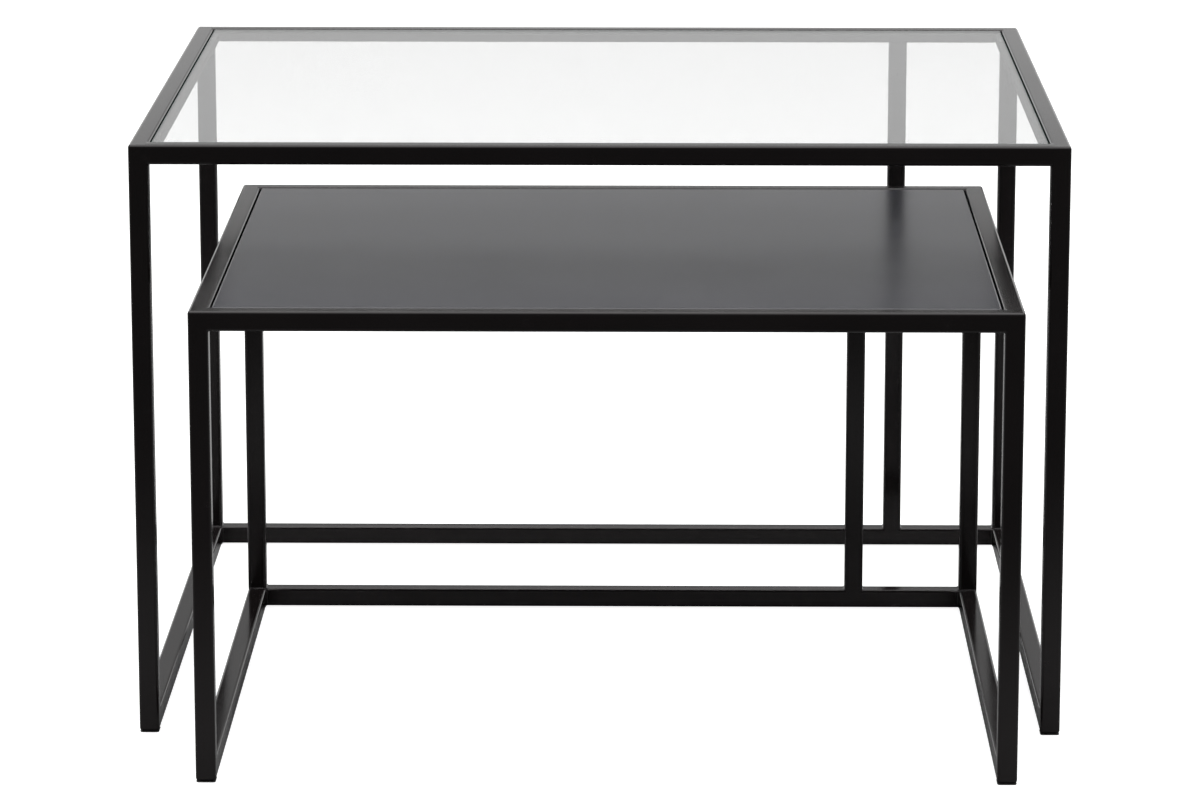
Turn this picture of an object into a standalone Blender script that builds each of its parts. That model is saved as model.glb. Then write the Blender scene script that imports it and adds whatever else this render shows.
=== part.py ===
"""Nesting tables: a glass-topped table with a smaller steel-topped table beneath it.

Metres, +Z up, front towards -Y. The origin lies on the floor, at the centre of the set
as it stands with the small table drawn partly out.
"""
import math

import bmesh
import bpy
from mathutils import Matrix, Vector

# Driving dimensions ---------------------------------------------------------------

TUBE = 0.016             # outside width of the square steel tube
TUBE_WALL = 0.0012
TUBE_RADIUS = 0.0024     # rounding of the tube's four long edges
BORE_RADIUS = 0.0012     # rounding of the bore's corners
GAP = 0.0003             # clearance kept between pieces that touch

LARGE_SIZE = Vector((0.750, 0.630, 0.486))
SMALL_SIZE = Vector((0.648, 0.545, 0.380))
DRAWN_OUT = 0.138        # how far the small table stands out in front of the large one
SIDEWAYS = 0.007         # how far right of centre the small table stands
UPRIGHT_INSET = 0.1015   # right rear leg to the rear upright, centre to centre

LEDGE_WIDTH = 0.005      # flat bar on edge, welded inside the top rails
LEDGE_HEIGHT = 0.007
BAR_EDGE = 0.0004

GLASS_THICKNESS = 0.006
GLASS_RECESS = 0.0005    # glass surface below the top of the rails
GLASS_MARGIN = 0.0011    # slot between the glass and the rails
GLASS_CORNER = 0.002
GLASS_EDGE = 0.0005
GLASS_PAD_LENGTH = 0.014
GLASS_PAD_WIDTH = 0.003
GLASS_PAD_FROM_CORNER = 0.045

PANEL_SHEET = 0.0012
PANEL_RECESS = 0.0003
PANEL_MARGIN = 0.0010    # groove between the panel and the rails
PANEL_BEND = 0.0020      # outside radius of the folded edges
STIFFENER_WIDTH = 0.026
STIFFENER_HEIGHT = 0.0045
STIFFENER_SPACING = 0.200

GLIDE_WIDTH = 0.0154
GLIDE_THICKNESS = 0.0010
GLIDE_CORNER = 0.0022
GLIDE_EDGE = 0.0003

ARC_STEPS = 3            # facets in each rounded corner

# Derived dimensions ---------------------------------------------------------------

FRAME_BOTTOM = GLIDE_THICKNESS + GAP
MITRE_SETBACK = GAP / math.sqrt(2)
OVERALL_DEPTH = LARGE_SIZE.y + DRAWN_OUT
LARGE_CENTRE = Vector((0, DRAWN_OUT / 2, 0))
SMALL_CENTRE = Vector((SIDEWAYS, (SMALL_SIZE.y - OVERALL_DEPTH) / 2, 0))

SIDES = {"left": -1, "right": 1}
ENDS = {"front": -1, "rear": 1}


# Materials ------------------------------------------------------------------------

def make_material(name, colour, roughness, metallic=0.0, transmission=0.0):
    material = bpy.data.materials.new(name)
    material.use_nodes = True
    shader = material.node_tree.nodes["Principled BSDF"]
    shader.inputs["Base Color"].default_value = (*colour, 1)
    shader.inputs["Roughness"].default_value = roughness
    shader.inputs["Metallic"].default_value = metallic
    shader.inputs["Transmission Weight"].default_value = transmission
    return material


def make_materials():
    return {
        "frame_coat": make_material("frame_coat", (0.012, 0.012, 0.013), 0.38),
        "panel_coat": make_material("panel_coat", (0.020, 0.021, 0.024), 0.34),
        "clear_glass": make_material("clear_glass", (0.93, 0.97, 0.96), 0.02, transmission=1.0),
        "clear_silicone": make_material("clear_silicone", (0.80, 0.82, 0.82), 0.30, transmission=0.6),
        "glide_plastic": make_material("glide_plastic", (0.010, 0.010, 0.010), 0.60),
    }


# Shapes ---------------------------------------------------------------------------

def rounded_rectangle(width, height, radius):
    """Outline points, counter-clockwise, centred on the origin."""
    corners = ((1, 1), (-1, 1), (-1, -1), (1, -1))
    points = []
    for quarter, (side_x, side_y) in enumerate(corners):
        centre = Vector((side_x * (width / 2 - radius), side_y * (height / 2 - radius), 0))
        for step in range(ARC_STEPS + 1):
            angle = (quarter + step / ARC_STEPS) * math.pi / 2
            points.append(centre + radius * Vector((math.cos(angle), math.sin(angle), 0)))
    return points


def extruded_mesh(name, outlines, length):
    """Closed outlines in the XY plane, filled and extruded to a length along Z."""
    curve = bpy.data.curves.new(name, "CURVE")
    curve.dimensions = "2D"
    curve.fill_mode = "BOTH"
    curve.extrude = length / 2
    for outline in outlines:
        spline = curve.splines.new("POLY")
        spline.points.add(len(outline) - 1)
        spline.use_cyclic_u = True
        for point, place in zip(spline.points, outline):
            point.co = (*place, 1)
    source = bpy.data.objects.new(name, curve)
    bpy.context.scene.collection.objects.link(source)
    evaluated = source.evaluated_get(bpy.context.evaluated_depsgraph_get())
    mesh = bpy.data.meshes.new_from_object(evaluated)
    bpy.data.objects.remove(source)
    bpy.data.curves.remove(curve)
    weld(mesh)
    return mesh


def weld(mesh):
    """Join the loose caps of an extruded outline to its walls."""
    model = bmesh.new()
    model.from_mesh(mesh)
    bmesh.ops.remove_doubles(model, verts=model.verts, dist=1e-6)
    bmesh.ops.recalc_face_normals(model, faces=model.faces)
    model.to_mesh(mesh)
    model.free()


def box_mesh(name, size):
    model = bmesh.new()
    bmesh.ops.create_cube(model, size=1)
    bmesh.ops.scale(model, verts=model.verts, vec=size)
    mesh = bpy.data.meshes.new(name)
    model.to_mesh(mesh)
    model.free()
    return mesh


def tube_mesh(name, length, mitred):
    """Hollow square tube along Z. Mitred ends leave the -Y side at the full length."""
    bore = TUBE - 2 * TUBE_WALL
    outlines = (
        rounded_rectangle(TUBE, TUBE, TUBE_RADIUS),
        rounded_rectangle(bore, bore, BORE_RADIUS),
    )
    mesh = extruded_mesh(name, outlines, length)
    if mitred:
        for vertex in mesh.vertices:
            end = math.copysign(1, vertex.co.z)
            vertex.co.z -= end * (vertex.co.y + TUBE / 2 + MITRE_SETBACK)
    return mesh


def tray_mesh(name, size):
    """Open sheet surface of a shallow tray, upside down, with rounded folds."""
    model = bmesh.new()
    bmesh.ops.create_cube(model, size=1)
    bmesh.ops.scale(model, verts=model.verts, vec=size)
    underside = [face for face in model.faces if face.normal.z < -0.5]
    bmesh.ops.delete(model, geom=underside, context="FACES")
    folds = [edge for edge in model.edges if not edge.is_boundary]
    bmesh.ops.bevel(model, geom=folds, offset=PANEL_BEND, segments=ARC_STEPS,
                    profile=0.5, affect="EDGES")
    mesh = bpy.data.meshes.new(name)
    model.to_mesh(mesh)
    model.free()
    return mesh


def add_bevel(part, width, segments):
    bevel = part.modifiers.new("edges", "BEVEL")
    bevel.width = width
    bevel.segments = segments
    bevel.limit_method = "ANGLE"
    bevel.angle_limit = math.radians(60)


# Assembly -------------------------------------------------------------------------

class Table:
    """One table: an empty on the floor at its centre, and the pieces parented to it."""

    def __init__(self, name, size, centre, collection, materials):
        self.name = name
        self.size = size
        self.inside = Vector((size.x - 2 * TUBE, size.y - 2 * TUBE))
        self.rail_z = size.z - TUBE / 2
        self.ledge_top = size.z - TUBE + LEDGE_HEIGHT
        self.collection = collection
        self.materials = materials
        self.origin = bpy.data.objects.new(name + "_table", None)
        self.origin.location = centre
        self.origin.empty_display_size = 0.05
        collection.objects.link(self.origin)

    def add(self, name, mesh, material, place, turn=(0, 0, 0)):
        part = bpy.data.objects.new(self.name + "_" + name, mesh)
        part.parent = self.origin
        part.location = place
        part.rotation_euler = turn
        self.collection.objects.link(part)
        mesh.materials.clear()
        mesh.materials.append(self.materials[material])
        mesh.shade_smooth()
        mesh.set_sharp_from_angle(angle=math.radians(40))
        return part

    def add_side_frame(self, side):
        """A closed ring of four mitred tubes: front leg, top rail, rear leg, foot rail."""
        height = self.size.z - FRAME_BOTTOM
        middle = FRAME_BOTTOM + height / 2
        reach = (self.size.y - TUBE) / 2
        ring = (
            ("leg_front", height, -reach, middle, 0),
            ("top_rail", self.size.y, 0, self.rail_z, -90),
            ("leg_rear", height, reach, middle, 180),
            ("foot_rail", self.size.y, 0, FRAME_BOTTOM + TUBE / 2, 90),
        )
        x = SIDES[side] * (self.size.x - TUBE) / 2
        for piece, length, y, z, turn in ring:
            name = piece + "_" + side
            self.add(name, tube_mesh(name, length, mitred=True), "frame_coat",
                     (x, y, z), (math.radians(turn), 0, 0))

    def add_cross_rail(self, name, y, z):
        length = self.inside.x - 2 * GAP
        self.add(name, tube_mesh(name, length, mitred=False), "frame_coat",
                 (0, y, z), (0, math.radians(90), 0))

    def add_frame(self):
        reach = (self.size.y - TUBE) / 2
        for side in SIDES:
            self.add_side_frame(side)
        self.add_cross_rail("top_rail_front", -reach, self.rail_z)
        self.add_cross_rail("top_rail_rear", reach, self.rail_z)
        self.add_cross_rail("foot_rail_rear", reach, FRAME_BOTTOM + TUBE / 2)
        bottom = FRAME_BOTTOM + TUBE + GAP
        top = self.size.z - TUBE - GAP
        mesh = tube_mesh("rear_upright", top - bottom, mitred=False)
        x = (self.size.x - TUBE) / 2 - UPRIGHT_INSET
        self.add("rear_upright", mesh, "frame_coat", (x, reach, (top + bottom) / 2))

    def add_ledge_bar(self, name, size, place):
        part = self.add(name, box_mesh(name, size), "frame_coat", place)
        add_bevel(part, BAR_EDGE, 1)

    def add_ledges(self):
        """Four flat bars on edge, flush with the underside of the top rails."""
        z = self.ledge_top - LEDGE_HEIGHT / 2
        inset = GAP + LEDGE_WIDTH / 2
        side_length = self.inside.y - 2 * GAP
        end_length = self.inside.x - 2 * (LEDGE_WIDTH + 2 * GAP)
        for side, sign in SIDES.items():
            x = sign * (self.inside.x / 2 - inset)
            self.add_ledge_bar("ledge_" + side, (LEDGE_WIDTH, side_length, LEDGE_HEIGHT), (x, 0, z))
        for end, sign in ENDS.items():
            y = sign * (self.inside.y / 2 - inset)
            self.add_ledge_bar("ledge_" + end, (end_length, LEDGE_WIDTH, LEDGE_HEIGHT), (0, y, z))

    def add_glides(self):
        """Four flat pads between the foot rails and the floor, one below each leg."""
        outline = rounded_rectangle(GLIDE_WIDTH, GLIDE_WIDTH, GLIDE_CORNER)
        for end, end_sign in ENDS.items():
            for side, side_sign in SIDES.items():
                name = "glide_" + end + "_" + side
                mesh = extruded_mesh(name, (outline,), GLIDE_THICKNESS)
                place = (side_sign * (self.size.x - TUBE) / 2,
                         end_sign * (self.size.y - TUBE) / 2, GLIDE_THICKNESS / 2)
                add_bevel(self.add(name, mesh, "glide_plastic", place), GLIDE_EDGE, 1)


def add_glass_top(table):
    width, depth = table.inside - Vector((2, 2)) * GLASS_MARGIN
    surface = table.size.z - GLASS_RECESS
    outline = rounded_rectangle(width, depth, GLASS_CORNER)
    mesh = extruded_mesh("glass_top", (outline,), GLASS_THICKNESS)
    place = (0, 0, surface - GLASS_THICKNESS / 2)
    add_bevel(table.add("glass_top", mesh, "clear_glass", place), GLASS_EDGE, 2)
    add_glass_pads(table, surface - GLASS_THICKNESS)


def add_glass_pads(table, glass_bottom):
    """Clear silicone strips on the side ledges, under the corners of the glass."""
    bottom = table.ledge_top + GAP
    size = (GLASS_PAD_WIDTH, GLASS_PAD_LENGTH, glass_bottom - GAP - bottom)
    x = table.inside.x / 2 - GAP - LEDGE_WIDTH / 2
    y = table.inside.y / 2 - GLASS_PAD_FROM_CORNER
    for end, end_sign in ENDS.items():
        for side, side_sign in SIDES.items():
            name = "glass_pad_" + end + "_" + side
            place = (side_sign * x, end_sign * y, bottom + size[2] / 2)
            table.add(name, box_mesh(name, size), "clear_silicone", place)


def add_steel_top(table):
    """A folded sheet-steel tray that stands on the ledges, with two ribs under it."""
    width, depth = table.inside - Vector((2, 2)) * PANEL_MARGIN
    surface = table.size.z - PANEL_RECESS
    bottom = table.ledge_top + GAP
    height = surface - bottom
    mesh = tray_mesh("top_panel", (width, depth, height))
    panel = table.add("top_panel", mesh, "panel_coat", (0, 0, bottom + height / 2))
    sheet = panel.modifiers.new("sheet", "SOLIDIFY")
    sheet.thickness = PANEL_SHEET
    sheet.offset = -1
    sheet.use_even_offset = True
    add_stiffeners(table, surface - PANEL_SHEET - GAP, depth - 2 * (PANEL_BEND + GAP))


def add_stiffeners(table, top, length):
    """Channels of folded sheet, open side down, that run from front to rear."""
    half = STIFFENER_WIDTH / 2
    legs = half - PANEL_SHEET
    foot = -STIFFENER_HEIGHT
    outline = ((-half, 0), (-half, foot), (-legs, foot), (-legs, -PANEL_SHEET),
               (legs, -PANEL_SHEET), (legs, foot), (half, foot), (half, 0))
    outline = [(x, y, 0) for x, y in outline]
    for side, sign in SIDES.items():
        name = "panel_stiffener_" + side
        mesh = extruded_mesh(name, (outline,), length)
        place = (sign * STIFFENER_SPACING / 2, 0, top)
        table.add(name, mesh, "panel_coat", place, (math.radians(90), 0, 0))


def build():
    for item in list(bpy.data.objects):
        bpy.data.objects.remove(item)
    collection = bpy.data.collections.new("nesting_tables")
    bpy.context.scene.collection.children.link(collection)
    materials = make_materials()

    large = Table("large", LARGE_SIZE, LARGE_CENTRE, collection, materials)
    large.add_frame()
    large.add_ledges()
    large.add_glides()
    add_glass_top(large)

    small = Table("small", SMALL_SIZE, SMALL_CENTRE, collection, materials)
    small.add_frame()
    small.add_ledges()
    small.add_glides()
    add_steel_top(small)


build()
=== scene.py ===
import math

import bmesh
import bpy
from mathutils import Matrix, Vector


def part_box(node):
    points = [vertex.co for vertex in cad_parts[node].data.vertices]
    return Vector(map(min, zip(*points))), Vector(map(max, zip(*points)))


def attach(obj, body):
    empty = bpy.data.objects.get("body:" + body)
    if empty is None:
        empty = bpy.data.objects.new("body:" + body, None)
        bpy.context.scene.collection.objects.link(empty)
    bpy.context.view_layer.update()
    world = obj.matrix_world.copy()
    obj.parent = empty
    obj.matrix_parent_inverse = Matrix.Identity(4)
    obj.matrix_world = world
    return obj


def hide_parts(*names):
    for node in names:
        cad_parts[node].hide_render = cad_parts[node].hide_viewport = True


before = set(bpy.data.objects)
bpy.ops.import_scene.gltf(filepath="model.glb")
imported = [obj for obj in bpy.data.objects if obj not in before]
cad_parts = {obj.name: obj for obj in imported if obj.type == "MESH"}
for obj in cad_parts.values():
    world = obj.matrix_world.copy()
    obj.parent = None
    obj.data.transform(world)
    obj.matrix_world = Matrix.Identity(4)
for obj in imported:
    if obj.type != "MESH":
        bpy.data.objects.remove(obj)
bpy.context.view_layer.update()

# Dimensions -----------------------------------------------------------------------

TUBE = 0.016                # outside width of the square tube
TUBE_RADIUS = 0.0024        # rounding of its long edges
JOINT_GAP = 0.0003          # clearance that the CAD leaves at each joint; the welds close it
WELD_SIZE = 0.0013          # leg of the small fillets in the inside corners
GLASS_CORNER = 0.002
GLASS_ARRIS = 0.0005        # ground arris round both faces of the pane
PANEL_SHEET = 0.0012
PANEL_BEND = 0.0020
ARC_STEPS = 6               # facets in each rounded corner
FILLET_STEPS = 4
MITRE_STEPS = 4

CAMERA_PLACE = Vector((0.046, -4.2175, 1.1833))
CAMERA_DOWN = 0.22382       # radians below the horizon
CAMERA_LEFT = 0.01143       # radians to the left of straight ahead
CAMERA_LENS = 152.19
CAMERA_SENSOR = 36.0
CAMERA_REACH = 200.0

FLOOR_SIZE = 110.0
FLOOR_SEEN = 0.36           # reflectance of the floor as seen
FLOOR_GLOW = 0.93           # and its own light, so that it looks white
FLOOR_MIRRORED = (0.06, 0.28)  # painted falloff of light: reflectance in reflections, far in front, and near
FLOOR_AHEAD = (-1.25, -0.35)   # Y at which those two hold
FLOOR_DIMMING = (1.0, 0.25)    # painted falloff of light behind: share of that in reflections, near, and far behind
FLOOR_BEHIND = (1.2, 2.4)      # Y at which those two hold

HORIZON_LIGHT = 1.1         # from the horizon up to about five degrees
BAND_LIGHT = 0.67           # above that, up to about ten degrees
GAP_LIGHT = 0.21            # just above that, over the edge of the lit backdrop
MIDDLE_LIGHT = 0.41         # from about fifteen degrees
OVERHEAD_LIGHT = 2.5        # added higher up, from thirty degrees
FRONT_SHARE = 0.3           # share of the lower light that the front side gives
HORIZON_EDGE = (0.08, 0.15)    # each edge is soft; it is given as sines of elevation
BACKDROP_EDGE = (0.170, 0.199)
WALL_EDGE = (0.220, 0.262)
OVERHEAD_EDGE = (0.5, 0.9)
FRONT_EDGE = (-0.8, 0.2)    # Y of the direction, between the front side and the rest

SOFTBOX_POWER = 30.0
SOFTBOX_SIZE = (1.6, 1.4)
SOFTBOX_PLACE = (2.4, 0.5, 1.3)  # on the right; the left one mirrors it
SOFTBOX_AIM = 0.4           # height at which both point

NOISE_SPAN = (0.3, 0.7)     # nearly all values of a noise texture lie in it
SPOT_SPAN = (0.60, 0.78)    # its rare high values, which make rubbed spots
CLOUD_SCALE = 9.0           # noise scales of the powder coat, per metre
SPOT_SCALE = 55.0
PEEL_SCALE = 260.0
GRAIN_SCALE = 950.0
PEEL_DEPTH = 0.00002
GRAIN_DEPTH = 0.000008
CLOUD_DRIFT = 0.02          # changes of the coat's roughness, either way
GRAIN_DRIFT = 0.015
RUBBED_DRIFT = 0.03         # the spots are only ever rougher
RUBBED_SHARE = 0.5          # how far a rubbed spot covers the coat's colour
RUBBED_LIGHT = 1.6          # how much lighter it is
GLASS_IOR = 1.5
SILICONE_IOR = 1.41

X = Vector((1, 0, 0))
Y = Vector((0, 1, 0))
Z = Vector((0, 0, 1))
SIDES = {"left": -1, "right": 1}
ENDS = {"front": -1, "rear": 1}


# Node helpers ---------------------------------------------------------------------

def add_node(tree, kind, settings=None, **inputs):
    """A shader node; inputs are sockets to link or values to set, by name."""
    node = tree.nodes.new("ShaderNode" + kind)
    for key, value in (settings or {}).items():
        setattr(node, key, value)
    for key, value in inputs.items():
        connect(tree, node.inputs[key.replace("_", " ")], value)
    return node


def connect(tree, socket, value):
    """Link a socket to an input, or set a plain value on it."""
    if isinstance(value, bpy.types.NodeSocket):
        tree.links.new(value, socket)
    else:
        socket.default_value = value


def noise(tree, place, scale, detail=2.0, roughness=0.5):
    node = add_node(tree, "TexNoise", Vector=place, Scale=scale, Detail=detail,
                    Roughness=roughness)
    return node.outputs["Fac"]


def remap(tree, value, source, target, smooth=False):
    """Value taken from one range to another, clamped."""
    settings = {"interpolation_type": "SMOOTHSTEP" if smooth else "LINEAR"}
    node = add_node(tree, "MapRange", settings, Value=value, From_Min=source[0],
                    From_Max=source[1], To_Min=target[0], To_Max=target[1])
    return node.outputs["Result"]


def maths(tree, operation, first, second):
    node = add_node(tree, "Math", {"operation": operation})
    connect(tree, node.inputs[0], first)
    connect(tree, node.inputs[1], second)
    return node.outputs[0]


def blend(tree, share, first, second):
    """Mix of two colours, each a tuple or a socket."""
    node = tree.nodes.new("ShaderNodeMix")
    node.data_type = "RGBA"
    connect(tree, node.inputs["Factor"], share)
    for socket, value in zip((node.inputs[6], node.inputs[7]), (first, second)):
        connect(tree, socket, (*value, 1) if isinstance(value, tuple) else value)
    return node.outputs[2]


def mix_numbers(tree, share, first, second):
    """Mix of two numbers, each a value or a socket."""
    node = tree.nodes.new("ShaderNodeMix")
    for socket, value in zip(node.inputs, (share, None, first, second)):
        if value is not None:
            connect(tree, socket, value)
    return node.outputs[0]


def grey(tree, value):
    return add_node(tree, "CombineColor", Red=value, Green=value, Blue=value).outputs[0]


def bump(tree, height, distance, strength, under=None):
    node = add_node(tree, "Bump", Height=height, Distance=distance, Strength=strength)
    if under is not None:
        tree.links.new(under, node.inputs["Normal"])
    return node.outputs["Normal"]


def new_material(name):
    """A material with its tree, its shader and its object coordinates."""
    material = bpy.data.materials.new(name)
    material.use_nodes = True
    tree = material.node_tree
    shader = tree.nodes["Principled BSDF"]
    place = add_node(tree, "TexCoord").outputs["Object"]
    return material, tree, shader, place


# Materials ------------------------------------------------------------------------

def powder_coat(name, dark, light, roughness, level, tint, texture=1.0):
    """Satin powder coat: fine orange peel and grain, faint clouding, a few dull rubbed spots."""
    material, tree, shader, place = new_material(name)
    clouds = noise(tree, place, CLOUD_SCALE, detail=3.0, roughness=0.6)
    grain = noise(tree, place, GRAIN_SCALE, detail=2.0, roughness=0.6)
    peel = noise(tree, place, PEEL_SCALE, detail=1.0, roughness=0.4)
    spots = noise(tree, place, SPOT_SCALE, detail=4.0, roughness=0.6)
    spots = remap(tree, spots, SPOT_SPAN, (0.0, 1.0), smooth=True)
    coat = blend(tree, remap(tree, clouds, NOISE_SPAN, (0.0, 1.0)), dark, light)
    dusty = tuple(RUBBED_LIGHT * channel for channel in light)
    connect(tree, shader.inputs["Base Color"],
            blend(tree, maths(tree, "MULTIPLY", spots, RUBBED_SHARE), coat, dusty))
    drift = remap(tree, clouds, NOISE_SPAN, (roughness - CLOUD_DRIFT, roughness + CLOUD_DRIFT))
    speckle = remap(tree, grain, NOISE_SPAN, (-GRAIN_DRIFT, GRAIN_DRIFT))
    rubbed = maths(tree, "MULTIPLY", spots, RUBBED_DRIFT)
    total = maths(tree, "ADD", maths(tree, "ADD", drift, speckle), rubbed)
    connect(tree, shader.inputs["Roughness"], total)
    relief = bump(tree, peel, PEEL_DEPTH * texture, strength=0.6)
    relief = bump(tree, grain, GRAIN_DEPTH * texture, strength=0.6, under=relief)
    connect(tree, shader.inputs["Normal"], relief)
    shader.inputs["Specular IOR Level"].default_value = level
    shader.inputs["Specular Tint"].default_value = (*tint, 1)
    return material


def clear_glass():
    """Clear float glass: a faint green body, polished faces, the lightest wiping marks."""
    material, tree, shader, place = new_material("clear_glass_pane")
    stretch = add_node(tree, "Mapping", Vector=place, Scale=(3.0, 14.0, 3.0))
    wiped = noise(tree, stretch.outputs["Vector"], scale=2.2, detail=4.0, roughness=0.6)
    tone = remap(tree, wiped, (0.35, 0.75), (0.0, 1.0))
    connect(tree, shader.inputs["Base Color"],
            blend(tree, tone, (0.994, 0.999, 0.997), (0.986, 0.993, 0.990)))
    connect(tree, shader.inputs["Roughness"], remap(tree, wiped, (0.45, 0.85), (0.0, 0.0035)))
    waves = noise(tree, place, scale=5.0, detail=1.0)
    connect(tree, shader.inputs["Normal"], bump(tree, waves, distance=0.00001, strength=0.5))
    shader.inputs["Transmission Weight"].default_value = 1.0
    shader.inputs["IOR"].default_value = GLASS_IOR
    return material


def ground_edge():
    """The pane's seamed edges: finely ground, so grey-green and dull."""
    material, tree, shader, place = new_material("clear_glass_ground_edge")
    grain = noise(tree, place, scale=2500.0, detail=3.0, roughness=0.6)
    connect(tree, shader.inputs["Base Color"],
            blend(tree, grain, (0.016, 0.040, 0.032), (0.030, 0.062, 0.052)))
    connect(tree, shader.inputs["Roughness"], remap(tree, grain, NOISE_SPAN, (0.30, 0.45)))
    connect(tree, shader.inputs["Normal"], bump(tree, grain, distance=0.00002, strength=0.5))
    shader.inputs["IOR"].default_value = GLASS_IOR
    return material


def silicone():
    """Translucent silicone, toned dark like the black steel round it."""
    material, tree, shader, place = new_material("clear_silicone_pad")
    cloudy = noise(tree, place, scale=700.0, detail=3.0)
    connect(tree, shader.inputs["Base Color"],
            blend(tree, cloudy, (0.060, 0.062, 0.064), (0.090, 0.093, 0.096)))
    connect(tree, shader.inputs["Roughness"], remap(tree, cloudy, NOISE_SPAN, (0.48, 0.62)))
    connect(tree, shader.inputs["Normal"], bump(tree, cloudy, distance=0.00003, strength=0.5))
    shader.inputs["Transmission Weight"].default_value = 0.60
    shader.inputs["IOR"].default_value = SILICONE_IOR
    return material


def glide_plastic():
    """Moulded black plastic with a fine grain and paler scuffs."""
    material, tree, shader, place = new_material("glide_plastic_moulded")
    grain = noise(tree, place, scale=1800.0, detail=2.0)
    scuffs = noise(tree, place, scale=240.0, detail=4.0, roughness=0.65)
    connect(tree, shader.inputs["Base Color"],
            blend(tree, remap(tree, scuffs, (0.45, 0.75), (0.0, 1.0)),
                  (0.010, 0.010, 0.010), (0.022, 0.021, 0.020)))
    connect(tree, shader.inputs["Roughness"], remap(tree, scuffs, NOISE_SPAN, (0.50, 0.68)))
    connect(tree, shader.inputs["Normal"], bump(tree, grain, distance=0.00003, strength=0.6))
    return material


def make_materials():
    """Every finish, by the name of its slot."""
    return {
        "frame_coat": powder_coat("frame_coat_satin", dark=(0.0062, 0.0050, 0.0050),
                                  light=(0.0088, 0.0071, 0.0072), tint=(1.0, 0.975, 0.985),
                                  roughness=0.13, level=0.32),
        "ledge_coat": powder_coat("ledge_coat_thin", dark=(0.0040, 0.0040, 0.0040),
                                  light=(0.0060, 0.0060, 0.0060), tint=(1.0, 1.0, 1.0),
                                  roughness=0.55, level=0.12),
        "panel_coat": powder_coat("panel_coat_satin", dark=(0.0085, 0.0084, 0.0135),
                                  light=(0.0115, 0.0114, 0.0170), tint=(0.98, 0.98, 1.0),
                                  roughness=0.22, level=0.59, texture=0.6),
        "clear_glass": clear_glass(),
        "ground_edge": ground_edge(),
        "clear_silicone": silicone(),
        "glide_plastic": glide_plastic(),
    }


# Shapes ---------------------------------------------------------------------------

def rounded_outline(half_u, half_v, radius):
    """Counter-clockwise (u, v) points of a rectangle with rounded corners."""
    points = []
    for quarter, (sign_u, sign_v) in enumerate(((1, 1), (-1, 1), (-1, -1), (1, -1))):
        for step in range(ARC_STEPS + 1):
            angle = (quarter + step / ARC_STEPS) * math.pi / 2
            points.append((sign_u * (half_u - radius) + radius * math.cos(angle),
                           sign_v * (half_v - radius) + radius * math.sin(angle)))
    return points


def closed_loft(model, rings):
    """A capped skin through rings of equally many points."""
    loops = [[model.verts.new(point) for point in ring] for ring in rings]
    for low, high in zip(loops, loops[1:]):
        for here in range(len(low)):
            there = (here + 1) % len(low)
            model.faces.new((low[here], low[there], high[there], high[here]))
    model.faces.new(reversed(loops[0]))
    model.faces.new(loops[-1])


def finished_piece(name, model, slot, body, nodes=(), smooth_angle=40):
    """An object from a bmesh, on its body, with its finish and smooth shading."""
    bmesh.ops.recalc_face_normals(model, faces=model.faces)
    mesh = bpy.data.meshes.new(name)
    model.to_mesh(mesh)
    model.free()
    mesh.shade_smooth()
    mesh.set_sharp_from_angle(angle=math.radians(smooth_angle))
    piece = bpy.data.objects.new(name, mesh)
    bpy.context.scene.collection.objects.link(piece)
    mesh.materials.append(materials[slot])
    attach(piece, body)
    if nodes:
        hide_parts(*nodes)
    return piece


def flatten_normals(piece):
    """Keeps the wide faces flat beside their rounded edges."""
    weighted = piece.modifiers.new("flat_faces", "WEIGHTED_NORMAL")
    weighted.keep_sharp = True


def node_box(node):
    """Lower and upper corner of a CAD node's box."""
    low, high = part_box(node)
    return Vector(low), Vector(high)


def tube_end(half, u, angle):
    """Where an outline point at height u ends: on the mitre, or on its ground-off corner."""
    start = TUBE / 2 - TUBE_RADIUS
    beyond = u - start
    if beyond <= 0:
        return half - (TUBE / 2 - u), u
    return half - TUBE_RADIUS + beyond * math.sin(angle), start + beyond * math.cos(angle)


def tube(node, axis, outward, mitred, body):
    """Square tube in place of its CAD node, run on until it meets its neighbours."""
    low, high = node_box(node)
    centre = (low + high) / 2
    across = axis.cross(outward)
    setback = JOINT_GAP / math.sqrt(2) if mitred else JOINT_GAP
    half = (high - low).dot(axis) / 2 + setback
    outline = rounded_outline(TUBE / 2, TUBE / 2, TUBE_RADIUS)
    steps = MITRE_STEPS if mitred else 0
    angles = [step / MITRE_STEPS * math.pi / 4 for step in range(steps + 1)]
    rings = []
    for end, turns in ((-1, reversed(angles)), (1, angles)):
        for angle in turns:
            ring = []
            for u, v in outline:
                reach, u = tube_end(half, u, angle) if mitred else (half, u)
                ring.append(centre + end * reach * axis + u * outward + v * across)
            rings.append(ring)
    model = bmesh.new()
    closed_loft(model, rings)
    bmesh.ops.remove_doubles(model, verts=model.verts, dist=0.000001)
    flatten_normals(finished_piece(node + "_tube", model, "frame_coat", body, (node,)))


def fillet(model, corner, first, second):
    """Concave weld bead in the corner between two tube faces.

    first and second point away from the corner along the faces; the bead runs across
    the tube's width and follows its rounded edges.
    """
    along = first.cross(second)
    flat = TUBE / 2 - TUBE_RADIUS
    stations = []
    for step in range(ARC_STEPS + 1):
        angle = step / ARC_STEPS * math.pi / 2
        stations.append((flat + TUBE_RADIUS * math.sin(angle),
                         TUBE_RADIUS * (1 - math.cos(angle))))
    stations = [(-place, depth) for place, depth in reversed(stations)] + stations
    rings = []
    for place, depth in stations:
        start = corner + along * place - (first + second) * depth
        ring = [start]
        for step in range(FILLET_STEPS + 1):
            angle = step / FILLET_STEPS * math.pi / 2
            ring.append(start + WELD_SIZE * ((1 - math.sin(angle)) * second
                                             + (1 - math.cos(angle)) * first))
        rings.append(ring)
    closed_loft(model, rings)


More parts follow.
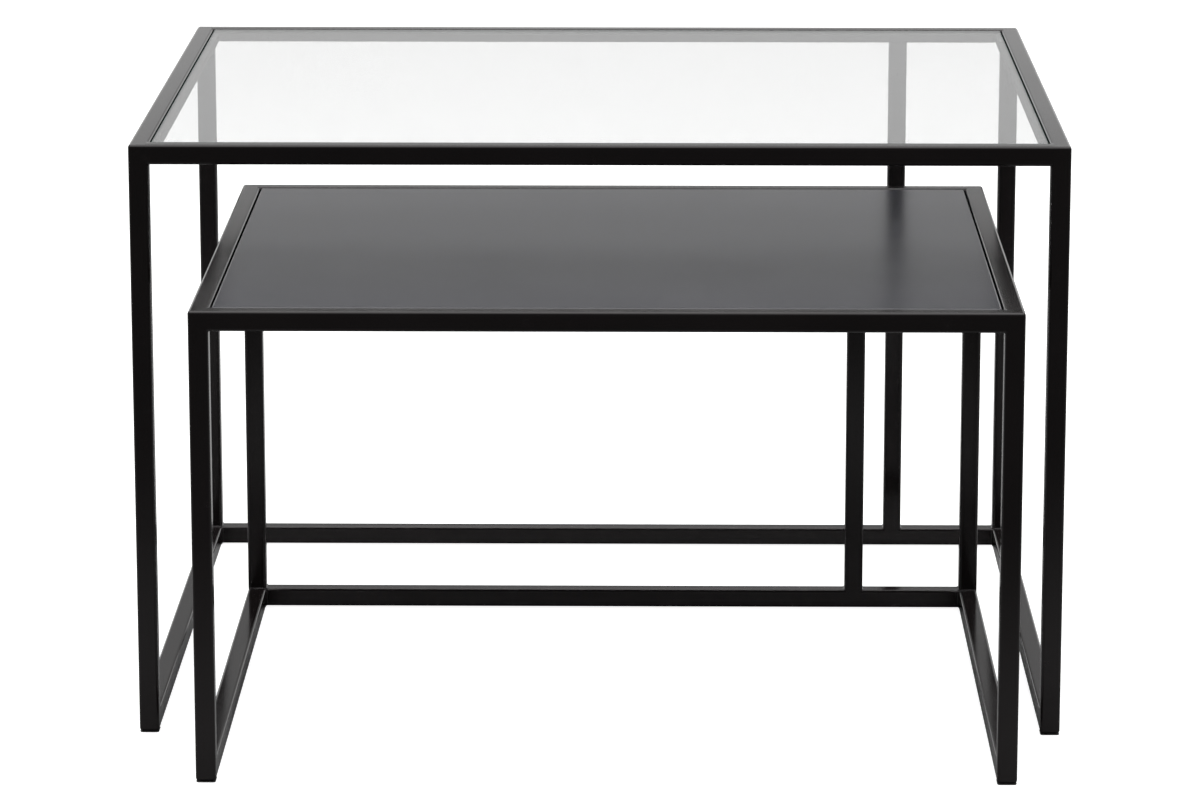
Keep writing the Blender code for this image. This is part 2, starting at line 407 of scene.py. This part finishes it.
def collar(model, face, axis, outward):
    """Weld metal flush with a butted tube's end: it fills the neighbour's rounded edge.

    face is the middle of the joint, on the neighbour's face; axis points out of it.
    """
    across = axis.cross(outward)
    outline = rounded_outline(TUBE / 2, TUBE / 2, TUBE_RADIUS)
    closed_loft(model, [[face + axis * reach + u * outward + v * across for u, v in outline]
                        for reach in (-TUBE_RADIUS, 0)])


def weld_piece(name, body, beads, collars):
    """One object for all the weld metal at a joint."""
    model = bmesh.new()
    for bead in beads:
        fillet(model, *bead)
    for ring in collars:
        collar(model, *ring)
    flatten_normals(finished_piece(name, model, "frame_coat", body, smooth_angle=60))


# Tables ---------------------------------------------------------------------------

def frame_tubes(table, body):
    """The twelve square tubes of one table."""
    for side in SIDES:
        tube(f"{table}_leg_front_{side}", Z, -Y, True, body)
        tube(f"{table}_leg_rear_{side}", Z, Y, True, body)
        tube(f"{table}_top_rail_{side}", Y, Z, True, body)
        tube(f"{table}_foot_rail_{side}", Y, -Z, True, body)
    for rail in ("top_rail_front", "top_rail_rear", "foot_rail_rear"):
        tube(f"{table}_{rail}", X, Z, False, body)
    tube(f"{table}_rear_upright", Z, Y, False, body)


def frame_welds(table, body):
    """Small fillets in every inside corner where tubes meet, and flush metal at the butts."""
    corner_low = node_box(f"{table}_leg_front_left")[0]
    corner_high = node_box(f"{table}_leg_rear_right")[1]
    floor_rail_top = node_box(f"{table}_foot_rail_left")[1].z
    top_rail_bottom = node_box(f"{table}_top_rail_left")[0].z
    side_x = (corner_high.x - corner_low.x - TUBE) / 2
    mid_x = (corner_high.x + corner_low.x) / 2
    reach_y = (corner_high.y - corner_low.y) / 2
    mid_y = (corner_high.y + corner_low.y) / 2
    levels = {"top": (top_rail_bottom, -Z), "bottom": (floor_rail_top, Z)}
    for side, side_sign in SIDES.items():
        for end, end_sign in ENDS.items():
            for level, (z, open_z) in levels.items():
                inward_x = -side_sign * X
                inward_y = -end_sign * Y
                frame_x = mid_x + side_sign * side_x
                inner_x = frame_x - side_sign * TUBE / 2
                outer_y = mid_y + end_sign * reach_y
                rail_y = outer_y - end_sign * TUBE / 2
                inner_y = outer_y - end_sign * TUBE
                rail_z = z - open_z.z * TUBE / 2
                beads = [(Vector((frame_x, inner_y, z)), inward_y, open_z)]
                collars = []
                if level == "top" or end == "rear":
                    beads.append((Vector((inner_x, rail_y, z)), inward_x, open_z))
                    beads.append((Vector((inner_x, inner_y, rail_z)), inward_x, inward_y))
                    collars.append((Vector((inner_x, rail_y, rail_z)), inward_x, Z))
                weld_piece(f"{table}_weld_{level}_{end}_{side}", body, beads, collars)
    low, high = node_box(f"{table}_rear_upright")
    x, y, _ = (low + high) / 2
    for level, (z, open_z) in levels.items():
        beads = [(Vector((low.x, y, z)), -X, open_z), (Vector((high.x, y, z)), X, open_z)]
        collars = [(Vector((x, y, z)), open_z, Y)]
        weld_piece(f"{table}_weld_{level}_upright", body, beads, collars)


def glass_pane():
    """The pane, with slightly rounded corners and an arris round both faces."""
    low, high = node_box("large_glass_top")
    centre = (low + high) / 2
    outline = rounded_outline((high.x - low.x) / 2, (high.y - low.y) / 2, GLASS_CORNER)
    model = bmesh.new()
    closed_loft(model, [[Vector((centre.x + u, centre.y + v, z)) for u, v in outline]
                        for z in (low.z, high.z)])
    pane = finished_piece("large_glass_top_pane", model, "clear_glass", "glass_pane",
                          ("large_glass_top",))
    pane.data.materials.append(materials["ground_edge"])
    for face in pane.data.polygons:
        face.material_index = 0 if abs(face.normal.z) > 0.5 else 1
    arris = pane.modifiers.new("arris", "BEVEL")
    arris.material = 1
    arris.width = GLASS_ARRIS
    arris.segments = 3
    arris.limit_method = "ANGLE"
    arris.angle_limit = math.radians(60)
    flatten_normals(pane)


def steel_panel():
    """The folded sheet top: a shallow tray turned over, with its open side down."""
    low, high = node_box("small_top_panel")
    size = high - low
    model = bmesh.new()
    bmesh.ops.create_cube(model, size=1)
    bmesh.ops.scale(model, verts=model.verts, vec=size)
    bmesh.ops.translate(model, verts=model.verts, vec=(low + high) / 2)
    underside = [face for face in model.faces if face.normal.z < -0.5]
    bmesh.ops.delete(model, geom=underside, context="FACES")
    folds = [edge for edge in model.edges if not edge.is_boundary]
    bmesh.ops.bevel(model, geom=folds, offset=PANEL_BEND, segments=ARC_STEPS,
                    profile=0.5, affect="EDGES")
    panel = finished_piece("small_top_panel_sheet", model, "panel_coat", "small_table",
                           ("small_top_panel",))
    sheet = panel.modifiers.new("sheet", "SOLIDIFY")
    sheet.thickness = PANEL_SHEET
    sheet.offset = -1
    sheet.use_even_offset = True
    flatten_normals(panel)


def finish_kept_nodes():
    """Better materials for the CAD nodes that stay as they are."""
    kinds = (("_ledge_", "ledge_coat"), ("_glide_", "glide_plastic"),
             ("_glass_pad_", "clear_silicone"), ("_stiffener_", "panel_coat"))
    for name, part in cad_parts.items():
        for mark, slot in kinds:
            if mark in name:
                part.data.materials.clear()
                part.data.materials.append(materials[slot])


# Stage ----------------------------------------------------------------------------

def make_floor():
    """A white light table: bright to look at, dimmer in what the tables reflect, where a painted
    falloff of light darkens it far in front and far behind.
    """
    model = bmesh.new()
    bmesh.ops.create_grid(model, x_segments=1, y_segments=1, size=FLOOR_SIZE / 2)
    mesh = bpy.data.meshes.new("floor")
    model.to_mesh(mesh)
    model.free()
    floor = bpy.data.objects.new("floor", mesh)
    bpy.context.scene.collection.objects.link(floor)
    material, tree, shader, place = new_material("pale_floor")
    path = add_node(tree, "LightPath")
    bounces = maths(tree, "MAXIMUM", path.outputs["Glossy Depth"], path.outputs["Diffuse Depth"])
    straight = maths(tree, "LESS_THAN", bounces, 0.5)
    through_glass = maths(tree, "MULTIPLY", path.outputs["Is Transmission Ray"], straight)
    seen = maths(tree, "MAXIMUM", path.outputs["Is Camera Ray"], through_glass)
    split = add_node(tree, "SeparateXYZ", Vector=place)
    paper = remap(tree, noise(tree, place, scale=1.5), NOISE_SPAN, (0.97, 1.0))
    # painted shade in reflections: the mirrored floor darkens away from the tables, in place of
    # light falling off
    ahead = remap(tree, split.outputs["Y"], FLOOR_AHEAD, FLOOR_MIRRORED, smooth=True)
    behind = remap(tree, split.outputs["Y"], FLOOR_BEHIND, FLOOR_DIMMING, smooth=True)
    mirrored = maths(tree, "MULTIPLY", ahead, behind)
    shade = maths(tree, "MULTIPLY", paper, mix_numbers(tree, seen, mirrored, FLOOR_SEEN))
    connect(tree, shader.inputs["Base Color"], grey(tree, shade))
    shader.inputs["Emission Color"].default_value = (1.0, 1.0, 1.0, 1)
    connect(tree, shader.inputs["Emission Strength"], maths(tree, "MULTIPLY", seen, FLOOR_GLOW))
    shader.inputs["Roughness"].default_value = 0.9
    shader.inputs["Specular IOR Level"].default_value = 0.1
    mesh.materials.append(material)


def make_world():
    """Soft white studio: a bright low band, a dimmer wall and a large light overhead."""
    world = bpy.data.worlds.new("studio")
    world.use_nodes = True
    bpy.context.scene.world = world
    tree = world.node_tree
    ray = add_node(tree, "TexCoord").outputs["Generated"]
    split = add_node(tree, "SeparateXYZ", Vector=ray)
    height = split.outputs["Z"]
    backdrop = remap(tree, height, BACKDROP_EDGE, (BAND_LIGHT, GAP_LIGHT), smooth=True)
    wall = remap(tree, height, WALL_EDGE, (0.0, MIDDLE_LIGHT - GAP_LIGHT), smooth=True)
    horizon = remap(tree, height, HORIZON_EDGE, (HORIZON_LIGHT - BAND_LIGHT, 0.0), smooth=True)
    band = maths(tree, "ADD", maths(tree, "ADD", backdrop, wall), horizon)
    overhead = remap(tree, height, OVERHEAD_EDGE, (0.0, OVERHEAD_LIGHT), smooth=True)
    front = remap(tree, split.outputs["Y"], FRONT_EDGE, (FRONT_SHARE, 1.0), smooth=True)
    background = tree.nodes["Background"]
    background.inputs["Color"].default_value = (1.0, 1.0, 1.0, 1)
    light = maths(tree, "ADD", maths(tree, "MULTIPLY", band, front), overhead)
    connect(tree, background.inputs["Strength"], light)


def make_side_lights():
    """A large softbox on each side, which lights the faces and isn't mirrored in them."""
    for side, sign in SIDES.items():
        data = bpy.data.lights.new("softbox_" + side, "AREA")
        data.shape = "RECTANGLE"
        data.size, data.size_y = SOFTBOX_SIZE
        data.energy = SOFTBOX_POWER
        light = bpy.data.objects.new("softbox_" + side, data)
        x, y, z = SOFTBOX_PLACE
        light.location = (sign * x, y, z)
        aim = Z * SOFTBOX_AIM - Vector(light.location)
        light.rotation_euler = aim.to_track_quat("-Z", "Y").to_euler()
        light.visible_glossy = False
        light.visible_camera = False
        bpy.context.scene.collection.objects.link(light)


def make_camera():
    """The camera looks at the set from the front and a little above."""
    data = bpy.data.cameras.new("camera")
    data.sensor_width = CAMERA_SENSOR
    data.lens = CAMERA_LENS
    data.clip_end = CAMERA_REACH
    camera = bpy.data.objects.new("camera", data)
    camera.location = CAMERA_PLACE
    camera.rotation_euler = (math.pi / 2 - CAMERA_DOWN, 0, CAMERA_LEFT)
    bpy.context.scene.collection.objects.link(camera)
    bpy.context.scene.camera = camera


make_camera()
make_floor()
make_world()
make_side_lights()
bpy.context.scene.view_settings.view_transform = "Standard"

materials = make_materials()
finish_kept_nodes()
for table_name in ("large", "small"):
    frame_tubes(table_name, table_name + "_table")
    frame_welds(table_name, table_name + "_table")
glass_pane()
steel_panel()
